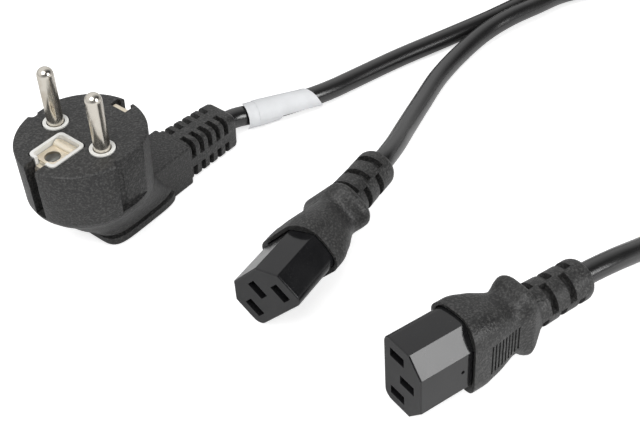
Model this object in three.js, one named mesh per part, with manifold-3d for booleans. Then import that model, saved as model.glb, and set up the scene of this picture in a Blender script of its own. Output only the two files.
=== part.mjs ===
import * as THREE from 'three';
import { mergeVertices } from 'three/addons/utils/BufferGeometryUtils.js';
import Module from 'manifold-3d';

const wasm = await Module();
wasm.setup();

// Shared sizes, in millimetres. X runs from the plug towards the cord, Z up from the surface.
const cordDiameter = 6.8;
const cordRadius = cordDiameter / 2;
const cordGap = 0.3; // where a cord meets a moulded end
const fitGap = 0.25; // round every piece held in a moulding

// Plug: two round pins with a hole for a round earth pin.
const faceHeight = 39.4;
const pinSpacing = 19;
const pinDiameter = 4.8;
const pinLength = 19;
const pinRoot = 13;
const drumRadius = 18.5;
const drumDepth = 18;
const armTop = 15;
const armEnd = 34.9;
const armHalfWidth = 7.5;
const reliefEnd = 57.4;
const plugCordHeight = 6.5;
const plugCordAside = -0.9;
const earthHoleX = -10;
const earthHoleDiameter = 5.2;
const earthPlateDrop = 1.2;
const clipDrop = 0.6;
const clipWidth = 3.6;
const slotDepth = 2.8;
const guideX = -1.6;
const landWidth = 17;

// Appliance connector with three flat slots.
const carrierWidth = 23;
const carrierHeight = 15;
const carrierBevelAcross = 5.4;
const carrierBevelUp = 4.8;
const carrierRound = 2.6;
const carrierLength = 21.5;
const slotSpacing = 14;
const slotOffset = 2;
const slotWidth = 3;
const slotHeight = 5.6;
const slotReach = 18.5;
const shellWall = 1.1;
const shellFront = 16.2;
const shellArch = 2;
const rimCentre = 39;
const connectorEnd = 64.2;
const gripGrooves = 9;
const reliefCore = 4.3;

// Junction moulding that joins the common cord to the two branches.
const junctionX = 264;
const junctionY = -109;
const junctionLength = 45;
const junctionHeight = 13;
const branchSpacing = 12.4;

// Paper label on the common cord.
const labelPlace = { start: [68, -4, 5.5], turn: -24.6, dip: 2.2 };
const labelLength = 24;
const labelWrap = 9;
const labelThickness = 0.4;
const flapWidth = 6.4;

// Coil of the common cord: two layers, wound inwards below and outwards above.
const coilCentre = [244, -5];
const coilRadius = 40;
const coilPitch = 7;
const coilHeight = cordDiameter + coilPitch;
const coilWidth = cordDiameter + 2 * coilPitch;
const tieThickness = 0.8;
const coilLift = tieThickness + cordGap;

const materials = {
  moulding: { color: 0x2b2b2d, roughness: 0.62, metalness: 0 },
  carrier: { color: 0x262628, roughness: 0.38, metalness: 0 },
  cord: { color: 0x232325, roughness: 0.45, metalness: 0 },
  insert: { color: 0xe8e8e6, roughness: 0.5, metalness: 0 },
  nickel: { color: 0xc8c0b2, roughness: 0.25, metalness: 1 },
  brass: { color: 0xcfb98a, roughness: 0.35, metalness: 1 },
  paper: { color: 0xeceef0, roughness: 0.7, metalness: 0 },
};

function solid(geometry) {
  const bare = geometry.clone();
  bare.deleteAttribute('normal');
  bare.deleteAttribute('uv');
  const merged = mergeVertices(bare, 1e-4);
  return new wasm.Manifold(new wasm.Mesh({
    numProp: 3,
    vertProperties: new Float32Array(merged.attributes.position.array),
    triVerts: new Uint32Array(merged.index.array),
  }));
}

function geometryOf(manifold) {
  const mesh = manifold.getMesh();
  const geometry = new THREE.BufferGeometry();
  geometry.setAttribute('position', new THREE.BufferAttribute(new Float32Array(mesh.vertProperties), 3));
  geometry.setIndex(new THREE.BufferAttribute(new Uint32Array(mesh.triVerts), 1));
  geometry.computeVertexNormals();
  return geometry;
}

function piece(name, geometry, look) {
  const mesh = new THREE.Mesh(geometry, new THREE.MeshStandardMaterial(materials[look]));
  mesh.name = name;
  return mesh;
}

function joinAll(parts) {
  return parts.reduce((whole, part) => whole.add(part));
}

function box(x0, x1, y0, y1, z0, z1) {
  const geometry = new THREE.BoxGeometry(x1 - x0, y1 - y0, z1 - z0);
  geometry.translate((x0 + x1) / 2, (y0 + y1) / 2, (z0 + z1) / 2);
  return solid(geometry);
}

// Closed skin over rings that all have the same number of points, wound so that the faces look outwards.
function skin(rings) {
  const count = rings[0].length;
  const positions = [];
  rings.forEach((ring) => ring.forEach((point) => positions.push(...point)));
  const middles = [rings[0], rings[rings.length - 1]].map((ring) => [0, 1, 2].map(
    (axis) => ring.reduce((sum, point) => sum + point[axis], 0) / count,
  ));
  middles.forEach((middle) => positions.push(...middle));
  const first = rings.length * count;
  const indices = [];
  for (let level = 0; level < rings.length - 1; level += 1) {
    for (let step = 0; step < count; step += 1) {
      const next = (step + 1) % count;
      const low = level * count;
      const high = low + count;
      indices.push(low + step, low + next, high + next, low + step, high + next, high + step);
    }
  }
  for (let step = 0; step < count; step += 1) {
    const next = (step + 1) % count;
    const top = (rings.length - 1) * count;
    indices.push(first, next, step, first + 1, top + step, top + next);
  }
  const geometry = new THREE.BufferGeometry();
  geometry.setAttribute('position', new THREE.Float32BufferAttribute(positions, 3));
  geometry.setIndex(indices);
  return geometry;
}

function roundedOutline(halfWidth, halfHeight, radius, steps = 5, lowRadius = radius) {
  const outline = [];
  [[1, 1, 0], [-1, 1, 1], [-1, -1, 2], [1, -1, 3]].forEach(([across, up, quarter]) => {
    const corner = Math.min(up > 0 ? radius : lowRadius, halfWidth - 0.01, halfHeight - 0.01);
    for (let step = 0; step <= steps; step += 1) {
      const angle = (quarter + step / steps) * Math.PI / 2;
      outline.push([
        across * (halfWidth - corner) + corner * Math.cos(angle),
        up * (halfHeight - corner) + corner * Math.sin(angle),
      ]);
    }
  });
  return outline;
}

// Body along X with rounded sections [x, half width, half height, corner radius, centre height, centre y].
function bodyAlongX(sections, steps = 5) {
  return skin(sections.map(([x, halfWidth, halfHeight, radius, lift = 0, aside = 0]) => (
    roundedOutline(halfWidth, halfHeight, radius, steps).map(([y, z]) => [x, y + aside, z + lift])
  )));
}

// Body up Z with oval sections [z, front x, back x, half width, squareness].
function bodyAlongZ(sections, count = 56) {
  return skin(sections.map(([z, front, back, halfWidth, power = 2]) => {
    const ring = [];
    for (let step = 0; step < count; step += 1) {
      const angle = step / count * 2 * Math.PI;
      const along = Math.sign(Math.cos(angle)) * Math.abs(Math.cos(angle)) ** (2 / power);
      const across = Math.sign(Math.sin(angle)) * Math.abs(Math.sin(angle)) ** (2 / power);
      ring.push([(front + back) / 2 + along * (back - front) / 2, across * halfWidth, z]);
    }
    return ring;
  }));
}

function prismAlongX(outline, x0, x1) {
  const shape = new THREE.Shape(outline.map(([y, z]) => new THREE.Vector2(y, z)));
  const geometry = new THREE.ExtrudeGeometry(shape, { depth: x1 - x0, bevelEnabled: false });
  geometry.applyMatrix4(new THREE.Matrix4().set(0, 0, 1, x0, 1, 0, 0, 0, 0, 1, 0, 0, 0, 0, 0, 1));
  return solid(geometry);
}

function prismAlongZ(outline, z0, z1) {
  const shape = new THREE.Shape(outline.map(([x, y]) => new THREE.Vector2(x, y)));
  const geometry = new THREE.ExtrudeGeometry(shape, { depth: z1 - z0, bevelEnabled: false });
  geometry.translate(0, 0, z0);
  return solid(geometry);
}

function prismAlongY(outline, y0, y1) {
  const shape = new THREE.Shape(outline.map(([x, z]) => new THREE.Vector2(x, z)));
  const geometry = new THREE.ExtrudeGeometry(shape, { depth: y1 - y0, bevelEnabled: false });
  geometry.rotateX(Math.PI / 2);
  geometry.translate(0, y1, 0);
  return solid(geometry);
}

// Round post along Z with its ends on the axis.
function post(x, y, z0, z1, radius, sides = 24) {
  const profile = [[0, z0], [radius, z0], [radius, z1], [0, z1]].map(([r, z]) => new THREE.Vector2(r, z));
  const geometry = new THREE.LatheGeometry(profile, sides);
  geometry.rotateX(Math.PI / 2);
  geometry.translate(x, y, 0);
  return solid(geometry);
}

// Cuts through the chosen quarters of a round relief, from the spines on its axes down to its core.
function cornerCuts(quarters, x, width, spine, core) {
  const signs = { 1: [1, 1], 2: [-1, 1], 3: [-1, -1], 4: [1, -1] };
  const cuts = quarters.map((quarter) => {
    const [y, z] = signs[quarter].map((sign) => [sign * spine, sign * 12].sort((a, b) => a - b));
    return box(x, x + width, ...y, ...z);
  });
  return joinAll(cuts).subtract(prismAlongX(roundedOutline(core, core, core - 0.01, 6), x - 1, x + width + 1));
}

function drum() {
  const bottom = faceHeight - drumDepth;
  return solid(bodyAlongZ([
    [0, -1.2, 26.6, 8.8, 5],
    [0.6, -1.9, 27.3, 9.5, 5],
    [3, -2.2, 27.3, 9.6, 4.6],
    [3.3, -1.3, 26.2, 8.5, 4.4],
    [4.2, -1.7, 26, 8.5, 4],
    [4.7, -3.2, 26.8, 9.5, 3.8],
    [5.7, -4.2, 26.8, 9.9, 3.4],
    [6.9, -5.4, 26, 10, 3],
    [11, -9.6, 23, 12.4, 2.5],
    [bottom - 4.6, -14, 20, 15.2, 2.15],
    [bottom - 3.2, -16.2, 19.6, 16.8, 2.05],
    [bottom - 1.6, -17.6, 19.5, 17.7],
    [bottom, -18.2, 19.6, 18.1],
    [faceHeight - 0.7, -drumRadius, 20, drumRadius],
    [faceHeight - 0.2, 0.4 - drumRadius, 19.6, drumRadius - 0.4],
    [faceHeight, 0.9 - drumRadius, 19.1, drumRadius - 0.9],
  ]));
}

function arm() {
  const block = solid(bodyAlongX([
    [8, armHalfWidth, armTop / 2, 0.6, armTop / 2],
    [armEnd - 0.5, armHalfWidth, armTop / 2, 0.6, armTop / 2],
    [armEnd, armHalfWidth - 0.4, armTop / 2 - 0.4, 0.8, armTop / 2],
  ]));
  let relief = solid(bodyAlongX([
    [armEnd - 2, armHalfWidth - 0.7, armTop / 2 - 0.15, 2.4, armTop / 2 - 0.05],
    [armEnd + 1.2, armHalfWidth - 0.7, armTop / 2 - 0.15, 2.4, armTop / 2 - 0.05],
    [reliefEnd - 4.4, 6.5, 6.9, 2.4, 7, plugCordAside * 0.8],
    [reliefEnd - 1.2, 6.4, 6.8, 2.4, 6.9, plugCordAside],
    [reliefEnd, 5.4, 5.8, 2.4, 6.9, plugCordAside],
  ]));
  for (let index = 0; index < 5; index += 1) {
    const x = armEnd + 1.2 + index * 3.75;
    const aside = plugCordAside * (x - armEnd) / (reliefEnd - armEnd);
    const middle = 7.3 - 0.35 * (x - armEnd) / (reliefEnd - armEnd);
    relief = relief.subtract(cornerCuts([1, 2, 3, 4], x, 1.7, 1.8, reliefCore + 0.1)
      .translate([0, aside, middle]));
  }
  return block.add(relief);
}

// White piece that holds the pins: two collars, the frame of the earth opening and the web between them.
function insertBody(grow) {
  const top = faceHeight + 0.2 + grow;
  const web = faceHeight - 7.5;
  const collars = [-1, 1].map((side) => post(0, side * pinSpacing / 2, web, top, 3.7 + grow));
  const frame = prismAlongZ(roundedOutline(6.2 + grow, 5.1 + grow, 1.6)
    .map(([x, y]) => [x - 8.2, y]), web, top);
  const bridge = prismAlongZ(roundedOutline(5 + grow, pinSpacing / 2 + 2 + grow, 2)
    .map(([x, y]) => [x - 2.6, y]), web - grow, web + 2.2 + grow);
  return joinAll([...collars, frame, bridge]);
}

function earthWell(grow) {
  const well = prismAlongZ(roundedOutline(5.2 + grow, 4.1 + grow, 0.9)
    .map(([x, y]) => [x - 8.2, y]), faceHeight - 6, faceHeight + 2);
  const mouth = box(-20, -12, -2.1 - grow, 2.1 + grow, faceHeight - 6, faceHeight + 2);
  return well.add(mouth);
}

function plugInsert() {
  let body = insertBody(0).subtract(earthWell(0));
  [-1, 1].forEach((side) => {
    body = body.subtract(post(0, side * pinSpacing / 2, 0, faceHeight + 2, pinDiameter / 2 + fitGap));
  });
  return body.subtract(post(earthHoleX, 0, faceHeight - 16, faceHeight, earthHoleDiameter / 2 + 0.3));
}

function clipSlot(side) {
  const outer = side < 0 ? -drumRadius - 1 : 21;
  const inner = side < 0 ? slotDepth - drumRadius : 15.2;
  const [x0, x1] = side < 0 ? [outer, inner] : [17.4, outer];
  const half = clipWidth / 2 + 0.2;
  const slot = box(x0, x1, -half, half, faceHeight - drumDepth, faceHeight + 2);
  if (side < 0) return slot;
  return slot.add(box(inner, 18.4, -3.1, 3.1, faceHeight - drumDepth, faceHeight + 2));
}

function guideCut(side) {
  const bottom = faceHeight - drumDepth + 0.6;
  const groove = post(guideX, side * (landWidth + 0.7), bottom, faceHeight + 2, 1.5, 24);
  const y = [side * landWidth, side * (landWidth + 4)].sort((a, b) => a - b);
  return groove.add(box(guideX, 8, y[0], y[1], bottom, faceHeight + 2));
}

function plugBody() {
  let body = drum().add(arm());
  [-1, 1].forEach((side) => {
    body = body.subtract(guideCut(side)).subtract(clipSlot(side));
    const [bore, bottom] = [pinDiameter / 2 + fitGap, faceHeight - pinRoot - 0.3];
    body = body.subtract(post(0, side * pinSpacing / 2, bottom, faceHeight, bore));
  });
  body = body.subtract(insertBody(fitGap)).subtract(earthWell(0.1));
  return body.subtract(post(earthHoleX, 0, faceHeight - 22, faceHeight, earthHoleDiameter / 2 + 0.3));
}

function pin() {
  const radius = pinDiameter / 2;
  const profile = [[0, -pinRoot], [radius, -pinRoot], [radius, pinLength - radius]];
  for (let step = 1; step <= 5; step += 1) {
    const angle = step / 5 * Math.PI / 2;
    profile.push([radius * Math.cos(angle), pinLength - radius + radius * Math.sin(angle)]);
  }
  profile[profile.length - 1][0] = 0;
  const geometry = new THREE.LatheGeometry(profile.map(([r, z]) => new THREE.Vector2(r, z)), 24);
  geometry.rotateX(Math.PI / 2);
  return geometry;
}

// Bent strip along X, given by the outline of its edge in the XZ plane.
function strip(outline, halfWidth) {
  return prismAlongY(outline, -halfWidth, halfWidth);
}

function earthPlate() {
  const top = faceHeight - earthPlateDrop;
  const under = top - 0.8;
  const spring = [];
  for (let step = 0; step <= 6; step += 1) {
    const angle = step / 6 * Math.PI;
    spring.push([-5.2 + 1.4 * Math.cos(Math.PI - angle), top + 1.1 * Math.sin(angle)]);
  }
  const plate = strip([[-13.1, under], [-3.3, under], [-3.3, top], ...spring.reverse(), [-13.1, top]], 3.7);
  const hole = post(earthHoleX, 0, under - 1, top + 1, earthHoleDiameter / 2 - 0.3);
  const bend = faceHeight - 2.2;
  const back = slotDepth - drumRadius - 0.2;
  const clip = strip([
    [-12.6, under], [-12.6, top], [-14, bend], [back, bend], [back - 0.9, bend - 1],
    [back - 0.9, faceHeight - 4.6], [back - 0.1, faceHeight - 5.2], [back - 0.1, bend - 1.1],
    [-14.2, bend - 1],
  ].reverse(), clipWidth / 2);
  return plate.subtract(hole).add(clip);
}

function earthClip() {
  const top = faceHeight - clipDrop;
  return strip([
    [15.5, top - 0.8], [15.5, top], [17.6, top], [18, top - 0.5], [18, faceHeight - 15],
    [17.3, faceHeight - 16.5], [17, faceHeight - 15.3], [17, top - 0.8],
  ].reverse(), 2.6);
}

function plug() {
  const group = new THREE.Group();
  group.add(piece('plug_body', geometryOf(plugBody()), 'moulding'));
  group.add(piece('plug_pin_insert', geometryOf(plugInsert()), 'insert'));
  ['left', 'right'].forEach((name, index) => {
    const mesh = piece(`plug_pin_${name}`, pin(), 'nickel');
    mesh.position.set(0, (0.5 - index) * pinSpacing, faceHeight);
    group.add(mesh);
  });
  group.add(piece('plug_earth_plate', geometryOf(earthPlate()), 'nickel'));
  group.add(piece('plug_earth_clip', geometryOf(earthClip()), 'nickel'));
  return group;
}

function carrierOutline(grow) {
  const half = carrierWidth / 2 + grow;
  const top = carrierHeight / 2 + grow;
  const round = carrierRound;
  const outline = [
    [half, carrierHeight / 2 - carrierBevelUp], [carrierWidth / 2 - carrierBevelAcross, top],
    [carrierBevelAcross - carrierWidth / 2, top], [-half, carrierHeight / 2 - carrierBevelUp],
  ];
  [-1, 1].forEach((side) => {
    for (let step = 0; step <= 4; step += 1) {
      const angle = Math.PI * (side < 0 ? 1 : 1.5) + step / 4 * Math.PI / 2;
      outline.push([side * (half - round) + round * Math.cos(angle), round - top + round * Math.sin(angle)]);
    }
  });
  return outline;
}

const contactPlaces = [
  ['live', slotSpacing / 2, -slotOffset],
  ['neutral', -slotSpacing / 2, -slotOffset],
  ['earth', 0, slotOffset],
];

function carrier() {
  let body = prismAlongX(carrierOutline(0), 0, carrierLength);
  contactPlaces.forEach(([, y, z]) => {
    const half = [slotWidth / 2, slotHeight / 2];
    body = body.subtract(box(-1, slotReach, y - half[0], y + half[0], z - half[1], z + half[1]));
  });
  const vent = post(shellFront - 2.4, 0.5, carrierHeight / 2 - 1.4, carrierHeight / 2 + 1, 0.55, 12);
  return body.subtract(vent);
}

// Female contact: a strip folded back on itself, open towards the front.
function contact() {
  const outer = slotWidth / 2 - 0.25;
  const leaf = 0.35;
  const end = slotReach - 1.1;
  const outline = [
    [5, outer], [5, outer - leaf], [9, outer - leaf - 0.3], [end - 1, outer - leaf],
    [end - 1, leaf - outer], [9, leaf - outer + 0.3], [5, leaf - outer], [5, -outer],
    [end, -outer], [end, outer],
  ];
  const shape = new THREE.Shape(outline.map(([x, y]) => new THREE.Vector2(x, y)));
  const depth = slotHeight - 0.8;
  const geometry = new THREE.ExtrudeGeometry(shape, { depth, bevelEnabled: false });
  geometry.translate(0, 0, -depth / 2);
  return solid(geometry);
}

// Sections of the shell: place along the axis, half width, half height, upper and lower corner radius.
const shellWide = carrierWidth / 2 + shellWall;
const shellTall = carrierHeight / 2 + shellWall + 0.3;
const shellSections = [
  [shellFront, shellWide - 0.3, shellTall - 0.3, 6.8, 3.4],
  [shellFront + 0.5, shellWide, shellTall, 7, 3.6],
  [20, shellWide, shellTall, 7, 3.6],
  [22, shellWide - 0.2, shellTall - 0.1, 6.8, 3.8],
  [24, shellWide - 0.6, shellTall - 0.4, 6.6, 4.2],
  [27, shellWide - 1.4, shellTall - 0.8, 6.2, 4.6],
  [30, shellWide - 2.5, shellTall - 1.4, 5.8, 5],
  [33, shellWide - 3.5, shellTall - 1.8, 5.4, 5],
  [rimCentre - 4.6, shellWide - 3.7, shellTall - 1.9, 5, 5],
  [rimCentre - 3, shellWide - 3, shellTall - 1.7, 5, 5],
  [rimCentre - 1.4, shellWide - 1.6, shellTall - 1.3, 5.2, 5.2],
  [rimCentre, shellWide - 1.1, shellTall - 1.1, 5.2, 5.2],
  [rimCentre + 1.2, shellWide - 1.5, shellTall - 1.4, 5.2, 5.2],
  [rimCentre + 2.4, shellWide - 3.2, shellTall - 1.8, 5.8, 5.8],
  [rimCentre + 3.4, 7, 6.9, 6.8, 6.8],
];

function shellTallAt(x) {
  const next = shellSections.findIndex((section) => section[0] > x);
  const [low, high] = [shellSections[next - 1], shellSections[next]];
  return low[2] + (high[2] - low[2]) * (x - low[0]) / (high[0] - low[0]);
}

function connectorShell() {
  const shell = solid(skin(shellSections.map(([x, wide, tall, high, low]) => (
    roundedOutline(wide, tall, high, 6, low).map(([y, z]) => [x, y, z])
  ))));
  const relief = solid(bodyAlongX([
    [rimCentre + 1, 6.8, 6.8, 6.79],
    [47.5, 6.5, 6.5, 6.49],
    [54, 6.35, 6.35, 6.34],
    [connectorEnd - 2.2, 6.35, 6.35, 6.34],
    [connectorEnd - 0.8, 5.9, 5.9, 5.89],
    [connectorEnd, 5, 5, 4.99],
  ], 8));
  return shell.add(relief);
}

// The mouth of the shell is arched back on its two short sides.
function mouthCut() {
  const outline = [[0, -14], [shellFront, -14]];
  for (let step = 0; step <= 12; step += 1) {
    const z = -10 + step / 12 * 20;
    outline.push([shellFront + shellArch * (1 - (z / 10) ** 2), z]);
  }
  outline.push([shellFront, 14], [0, 14]);
  return prismAlongY(outline.reverse(), -20, 20);
}

// Slots of the relief: three in two of its quarters and two, set between them, in the others.
function reliefSlots() {
  const pitch = 6.9;
  const first = connectorEnd - 20.55;
  const cuts = [];
  for (let ring = 0; ring < 3; ring += 1) {
    cuts.push(cornerCuts([2, 4], first + ring * pitch, 2.1, 0.3, reliefCore));
    if (ring < 2) cuts.push(cornerCuts([1, 3], first + (ring + 0.5) * pitch, 2.1, 0.3, reliefCore));
  }
  return joinAll(cuts);
}

function gripCuts() {
  const cuts = [];
  for (let index = 0; index < gripGrooves; index += 1) {
    const x = 22.4 + index * 1.33;
    const reach = 5 - 0.12 * index;
    const low = shellTallAt(x) - 0.5;
    cuts.push(box(x, x + 0.6, -reach, reach, low, low + 3));
    cuts.push(box(x, x + 0.6, -reach, reach, -low - 3, -low));
  }
  return joinAll(cuts);
}

function connectorBody() {
  const body = connectorShell().subtract(mouthCut()).subtract(reliefSlots()).subtract(gripCuts());
  return body.subtract(prismAlongX(carrierOutline(fitGap), 0, carrierLength + fitGap));
}

function connector(label, place) {
  const group = new THREE.Group();
  group.add(piece(`${label}_body`, geometryOf(connectorBody()), 'moulding'));
  group.add(piece(`${label}_carrier`, geometryOf(carrier()), 'carrier'));
  contactPlaces.forEach(([name, y, z]) => {
    const mesh = piece(`${label}_contact_${name}`, geometryOf(contact()), 'brass');
    mesh.position.set(0, y, z);
    group.add(mesh);
  });
  const [roll, dip, turn] = [place.roll, place.dip, place.turn].map(THREE.MathUtils.degToRad);
  group.position.set(...place.centre);
  group.rotation.set(roll, dip, turn, 'ZYX');
  return group;
}

const connectorPlaces = {
  connector_1: { centre: [0.6, -66.4, 15.15], turn: 6.9, dip: 3.5, roll: -51.1 },
  connector_2: { centre: [3.2, -110.9, 13.55], turn: -16.8, dip: 1.5, roll: 85 },
};

// Point on the axis of a connector, at a distance from its front face.
function exitOf(place, reach = connectorEnd + cordGap) {
  const [dip, turn] = [place.dip, place.turn].map(THREE.MathUtils.degToRad);
  const along = [Math.cos(turn) * Math.cos(dip), Math.sin(turn) * Math.cos(dip), -Math.sin(dip)];
  return place.centre.map((value, axis) => value + reach * along[axis]);
}

function junctionBody() {
  const middle = junctionX + junctionLength / 2;
  const lift = junctionHeight / 2;
  const trunkSide = junctionX + junctionLength;
  const body = solid(bodyAlongX([
    [junctionX + 12, 11.6, 5.4, 3.4, lift],
    [junctionX + 13.2, 12.6, 6.2, 3.8, lift],
    [middle, 12.4, lift, 4, lift],
    [trunkSide - 15, 9, 6.3, 4, lift],
    [trunkSide - 12, 6.2, 6, 5, lift],
  ], 5));
  const trunkRelief = solid(bodyAlongX([
    [trunkSide - 14, 5.9, 5.9, 5.89, lift],
    [trunkSide - 1, 5.1, 5.1, 5.09, lift],
    [trunkSide, 4.4, 4.4, 4.39, lift],
  ], 6));
  const branches = [-1, 1].map((side) => solid(bodyAlongX([
    [junctionX, 4.4], [junctionX + 1, 5.1], [junctionX + 16, 5.8],
  ].map(([x, radius]) => [x, radius, radius, radius - 0.01, lift, side * branchSpacing / 2]), 6)));
  let whole = joinAll([body, trunkRelief, ...branches]);
  for (let ring = 0; ring < 3; ring += 1) {
    const x = trunkSide - 10 + ring * 2.9;
    whole = whole.subtract(box(x, x + 1.3, -3.4, 3.4, lift + 3.9, 14));
    whole = whole.subtract(box(x, x + 1.3, -3.4, 3.4, -1, lift - 3.9));
  }
  return whole;
}

// The last two points of a cord that goes straight into the junction moulding.
function junctionEnd(side) {
  const y = junctionY + side * branchSpacing / 2;
  const height = junctionHeight / 2;
  if (side) return [[junctionX - 5, y, height], [junctionX - cordGap, y, height]];
  const x = junctionX + junctionLength;
  return [[x + 4.5, y + 0.2, height], [x + cordGap, y, height]];
}

// Routes of the cords, from the moulded ends outwards.
const trunkRoute = [
  [reliefEnd + cordGap, plugCordAside, plugCordHeight], [60.2, plugCordAside, plugCordHeight],
  [64, -1.9, 6.1], [68.5, -4.1, 5.5], [74, -6.9, 5.1], [80, -9.7, 4.8], [88, -13.2, 4.7],
  [97, -16, 4.2], [108, -18.4, 3.6], [128, -23.7, 3.5], [152, -31.4, 3.5], [170, -37, 3.5],
  [185, -41, 3.5], [198, -44.6, 3.5], [210.5, -47.5, 3.7],
];
const tailRoute = [
  [270, -52.4, 10.4], [282, -52.8, 8.2], [291, -53, 6], [299, -53.2, 4.3], [306, -53.8, 3.5],
  [319, -57.4, 3.5], [329.6, -67, 3.5], [333, -81, 3.5], [329.4, -95.2, 3.9], [322.4, -104, 5.2],
  ...junctionEnd(0),
];
const branchRoutes = [
  [
    exitOf(connectorPlaces.connector_1), exitOf(connectorPlaces.connector_1, connectorEnd + 5),
    [80.1, -54.6, 10], [90.6, -51.5, 8], [108.7, -46.5, 5.6], [127, -42.2, 4.3], [145, -40.6, 4],
    [159.5, -41.6, 5.2], [171, -44.6, 6.6], [186, -49.2, 6.8], [199, -52.2, 5.8], [211, -57.6, 4.5],
    [222, -66.6, 3.6], [232, -77.2, 3.5], [239.8, -88, 3.5], [248, -96.6, 4],
    ...junctionEnd(1),
  ],
  [
    exitOf(connectorPlaces.connector_2), exitOf(connectorPlaces.connector_2, connectorEnd + 5),
    [78.3, -133.4, 10.8], [88.4, -137.1, 8.4], [103, -142, 5], [118, -146, 3.6], [136, -148.6, 3.5],
    [156, -149.4, 3.5], [176, -147.6, 3.5], [196, -142.6, 3.5], [212, -136, 3.5], [226, -128.2, 3.5],
    [238, -121.4, 3.8], [249, -116.8, 5.1],
    ...junctionEnd(-1),
  ],
];

function tube(route, steps) {
  const points = route.map((point) => new THREE.Vector3(...point));
  const path = new THREE.CatmullRomCurve3(points, false, 'centripetal');
  const ring = new THREE.Shape();
  ring.absarc(0, 0, cordRadius, 0, 2 * Math.PI);
  return new THREE.ExtrudeGeometry(ring, { steps, curveSegments: 6, bevelEnabled: false, extrudePath: path });
}

function coil() {
  const middle = coilLift + coilHeight / 2;
  const section = roundedOutline(coilWidth / 2, coilHeight / 2, 3, 2);
  const profile = section.map(([r, z]) => new THREE.Vector2(coilRadius + r, middle + z));
  profile.push(profile[0].clone());
  const geometry = new THREE.LatheGeometry(profile, 36);
  geometry.rotateX(Math.PI / 2);
  geometry.translate(...coilCentre, 0);
  return solid(geometry);
}

// Band that holds the turns of the coil together.
function coilTie() {
  const lift = coilLift + coilHeight / 2;
  const loop = (grow, round) => roundedOutline(coilWidth / 2 + grow, coilHeight / 2 + grow, round)
    .map(([y, z]) => [y, z + lift]);
  const band = prismAlongX(loop(cordGap + tieThickness, 3.6), -2.5, 2.5);
  const geometry = geometryOf(band.subtract(prismAlongX(loop(cordGap, 2.9), -3, 3)));
  geometry.translate(coilCentre[0], coilCentre[1] + coilRadius, 0);
  return geometry;
}

// Paper label: one end wraps the cord, the rest lies over it and slopes down to the surface.
function labelSection(thickness) {
  const radius = cordRadius + 0.4;
  const inner = [];
  const outer = [];
  for (let step = 0; step <= 9; step += 1) {
    const angle = (60 + step * 10) / 180 * Math.PI;
    inner.push([radius * Math.cos(angle), radius * Math.sin(angle)]);
    outer.push([(radius + thickness) * Math.cos(angle), (radius + thickness) * Math.sin(angle)]);
  }
  const slope = [-Math.sin(Math.PI * 150 / 180), Math.cos(Math.PI * 150 / 180)];
  const end = (from) => [from[0] + slope[0] * 0.5 * flapWidth - 0.5, from[1] - flapWidth * 0.86];
  inner.push(end(inner[9]));
  outer.push([end(outer[9])[0], inner[10][1] + 0.2]);
  return [...outer, ...inner.reverse()];
}

function cordLabel() {
  const wrap = cordRadius + 0.4;
  const circle = (radius) => roundedOutline(radius, radius, radius - 0.01, 8);
  const sleeve = prismAlongX(circle(wrap + labelThickness), 0, labelWrap)
    .subtract(prismAlongX(circle(wrap), -1, labelWrap + 1));
  const sheet = prismAlongX(labelSection(labelThickness), labelWrap - 1, labelLength);
  return geometryOf(sleeve.add(sheet));
}

const part = new THREE.Group();
part.name = 'power_cord_splitter';
part.add(plug());
Object.entries(connectorPlaces).forEach(([label, place]) => part.add(connector(label, place)));
const junction = piece('junction_body', geometryOf(junctionBody()), 'moulding');
junction.position.set(0, junctionY, 0);
part.add(junction);
part.add(piece('trunk_cord', tube(trunkRoute, 14), 'cord'));
part.add(piece('trunk_coil', geometryOf(coil()), 'cord'));
part.add(piece('trunk_tail', tube(tailRoute, 14), 'cord'));
part.add(piece('coil_tie', coilTie(), 'moulding'));
const label = piece('cord_label', cordLabel(), 'paper');
label.position.set(...labelPlace.start);
const [labelDip, labelTurn] = [labelPlace.dip, labelPlace.turn].map(THREE.MathUtils.degToRad);
label.rotation.set(0, labelDip, labelTurn, 'ZYX');
part.add(label);
branchRoutes.forEach((route, index) => part.add(piece(`branch_cord_${index + 1}`, tube(route, 18), 'cord')));

export default part;
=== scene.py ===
import bmesh
import bpy
import math
from mathutils import Matrix, Vector


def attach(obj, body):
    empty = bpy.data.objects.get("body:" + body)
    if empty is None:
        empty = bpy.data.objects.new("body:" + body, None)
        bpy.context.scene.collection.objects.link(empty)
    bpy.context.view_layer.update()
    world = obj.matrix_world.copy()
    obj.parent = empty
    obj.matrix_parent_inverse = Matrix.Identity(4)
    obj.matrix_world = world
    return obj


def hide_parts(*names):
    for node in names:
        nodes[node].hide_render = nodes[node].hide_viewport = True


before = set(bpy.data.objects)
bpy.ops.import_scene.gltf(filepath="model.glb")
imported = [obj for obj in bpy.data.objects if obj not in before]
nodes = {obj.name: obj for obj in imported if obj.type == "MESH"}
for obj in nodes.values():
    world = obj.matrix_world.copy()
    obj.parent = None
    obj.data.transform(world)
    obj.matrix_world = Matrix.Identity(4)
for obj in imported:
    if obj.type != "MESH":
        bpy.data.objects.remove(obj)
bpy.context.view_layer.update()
mm = 0.001
print("frame loaded")

# Camera where the picture was taken from, in millimetres of the object's frame.
cameraSetup = {
    "place": (-138.66, -192.04, 227.69),
    "forward": (0.5709, 0.4376, -0.6947),
    "focalPixels": 1042.45,
    "frameWidth": 640,
    "sensorWidth": 36.0,
}


def makeCamera(setup):
    data = bpy.data.cameras.new("sceneCamera")
    data.sensor_width = setup["sensorWidth"]
    data.lens = setup["focalPixels"] / setup["frameWidth"] * setup["sensorWidth"]
    data.clip_start, data.clip_end = 0.01, 20
    camera = bpy.data.objects.new("sceneCamera", data)
    camera.location = Vector(setup["place"]) * mm
    camera.rotation_euler = Vector(setup["forward"]).to_track_quat("-Z", "Y").to_euler()
    bpy.context.scene.collection.objects.link(camera)
    bpy.context.scene.camera = camera


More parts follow.
